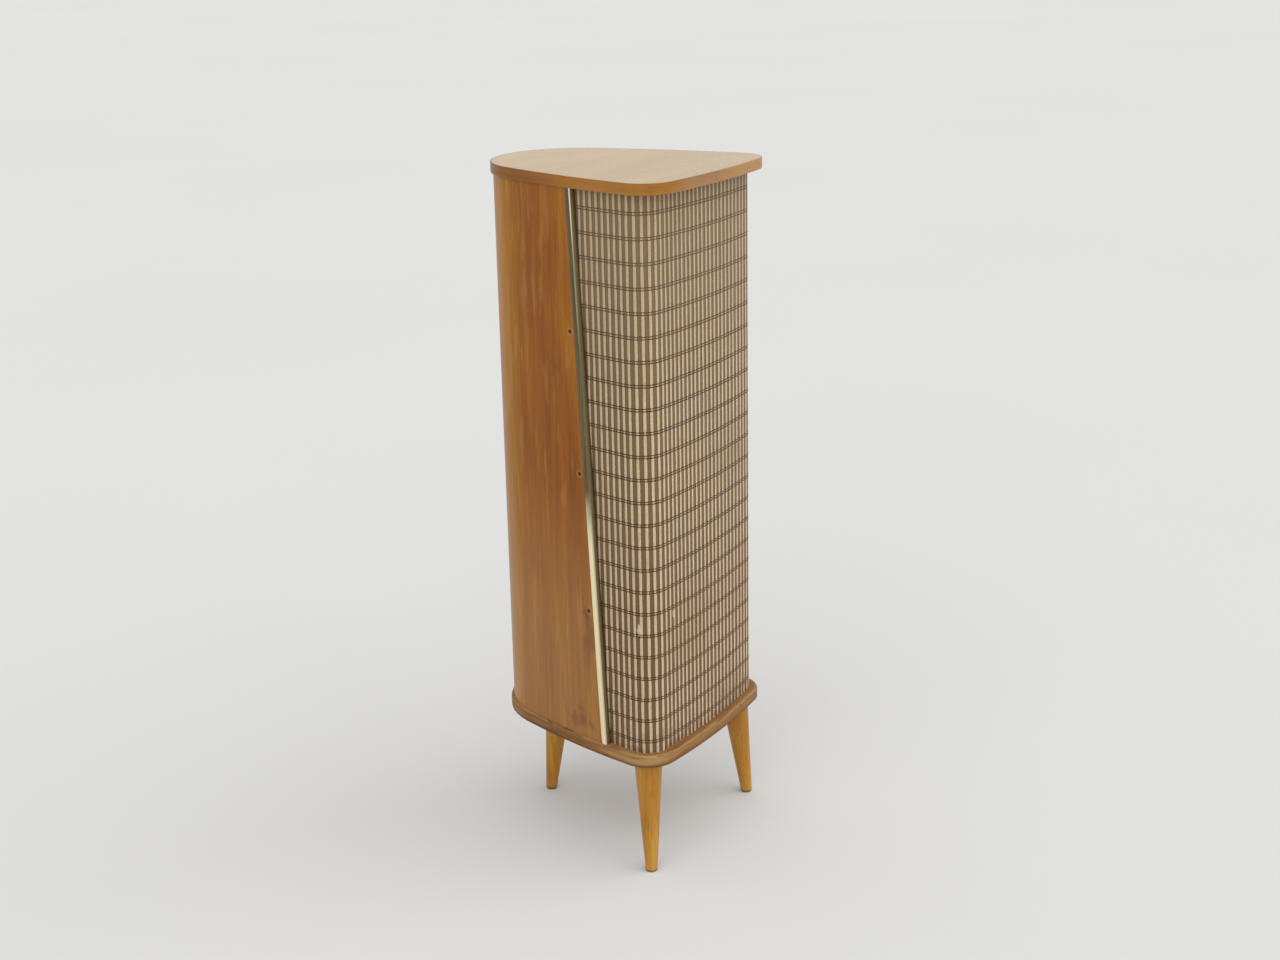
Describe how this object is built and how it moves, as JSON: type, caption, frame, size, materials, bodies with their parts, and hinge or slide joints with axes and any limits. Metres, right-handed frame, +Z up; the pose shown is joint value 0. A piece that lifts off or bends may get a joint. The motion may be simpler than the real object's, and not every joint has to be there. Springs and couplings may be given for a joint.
{
  "type": "floor-standing loudspeaker",
  "caption": "Slim column loudspeaker: rounded triangular wooden cabinet on splayed tapered legs, cloth-wrapped front, slanted metal trims, woofer and tweeter inside.",
  "frame": {"origin": "middle of the overall box on the floor", "axes": "front with the grille cloth towards -Y, +Z up, +X to the right seen from the front"},
  "size_m": [0.26, 0.2904, 0.808],
  "materials": {
    "board_veneer": "satin lacquered veneer, straight grain",
    "shell_veneer": "satin lacquered veneer, upright grain",
    "leg_wood": "lacquered turned beech",
    "plywood": "raw plywood",
    "grille_cloth": "cream ribs on a brown ground with brown cross threads",
    "gilt_trim": "polished, slightly aged",
    "nail_steel": "dull brown",
    "screw_steel": "zinc plated",
    "brass": "plain turned",
    "insulating_board": "phenolic board",
    "red_plastic": "moulded",
    "black_plastic": "moulded",
    "lead_sleeve": "flexible sleeve",
    "capacitor_case": "waxed paper tube",
    "felt": "grey wadding",
    "basket_steel": "grey lacquered pressing",
    "gasket_cork": "dark card ring",
    "plate_steel": "zinc plated",
    "magnet_alloy": "cast magnet alloy",
    "cone_paper": "pressed paper",
    "coil_copper": "lacquered copper wire on a paper former",
    "spider_fibre": "varnished pressed fibre disc",
    "surround_paper": "pleated rim of doped paper",
    "tag_board": "hard paper with tinned tags",
    "braid": "tinsel braid"
  },
  "bodies": {
    "cabinet": {"top_plate": "board_veneer", "base_plate": "board_veneer", "side_shell": "shell_veneer", "front_panel": "plywood", "grille_cloth": "grille_cloth", "left_trim": "gilt_trim", "right_trim": "gilt_trim", "shell_nails": "nail_steel", "top_former": "plywood", "bottom_former": "plywood", "edge_battens": "plywood", "baffle_board": "plywood", "baffle_battens": "plywood", "baffle_screws": "screw_steel", "top_screws": "screw_steel", "base_screws": "screw_steel", "front_left_leg": "leg_wood", "front_right_leg": "leg_wood", "back_leg": "leg_wood", "leg_bolts": "screw_steel", "leg_inserts": "brass", "input_plate": "insulating_board", "input_plate_screws": "screw_steel", "red_socket": "red_plastic", "black_socket": "black_plastic", "socket_nuts": "brass", "input_lead": "lead_sleeve", "lead_clips": "screw_steel", "crossover_capacitor": "capacitor_case", "capacitor_clip": "screw_steel", "tweeter_lead": "lead_sleeve", "damping_felt": "felt", "woofer_basket": "basket_steel", "woofer_gasket": "gasket_cork", "woofer_front_plate": "plate_steel", "woofer_magnet": "magnet_alloy", "woofer_pole_piece": "plate_steel", "woofer_yoke": "plate_steel", "woofer_spider": "spider_fibre", "woofer_surround": "surround_paper", "woofer_tag_strip": "tag_board", "woofer_tail_wires": "braid", "tweeter_basket": "basket_steel", "tweeter_gasket": "gasket_cork", "tweeter_front_plate": "plate_steel", "tweeter_magnet": "magnet_alloy", "tweeter_pole_piece": "plate_steel", "tweeter_yoke": "plate_steel", "tweeter_spider": "spider_fibre", "tweeter_surround": "surround_paper", "tweeter_tag_strip": "tag_board", "tweeter_tail_wires": "braid", "driver_screws": "screw_steel"},
    "woofer_moving": {"woofer_cone": "cone_paper", "woofer_dust_cap": "cone_paper", "woofer_voice_coil": "coil_copper"},
    "tweeter_moving": {"tweeter_cone": "cone_paper", "tweeter_dust_cap": "cone_paper", "tweeter_voice_coil": "coil_copper"}
  },
  "joints": [
    {"name": "woofer_cone_slide", "type": "slide", "parent": "cabinet", "child": "woofer_moving", "axis": [0, -1, 0], "range_m": [-0.003, 0.003], "stiffness_N_per_m": 2000, "deforming": ["woofer_surround", "woofer_spider", "woofer_tail_wires"]},
    {"name": "tweeter_cone_slide", "type": "slide", "parent": "cabinet", "child": "tweeter_moving", "axis": [0, -1, 0], "range_m": [-0.001, 0.001], "stiffness_N_per_m": 3000, "deforming": ["tweeter_surround", "tweeter_spider", "tweeter_tail_wires"]}
  ]
}
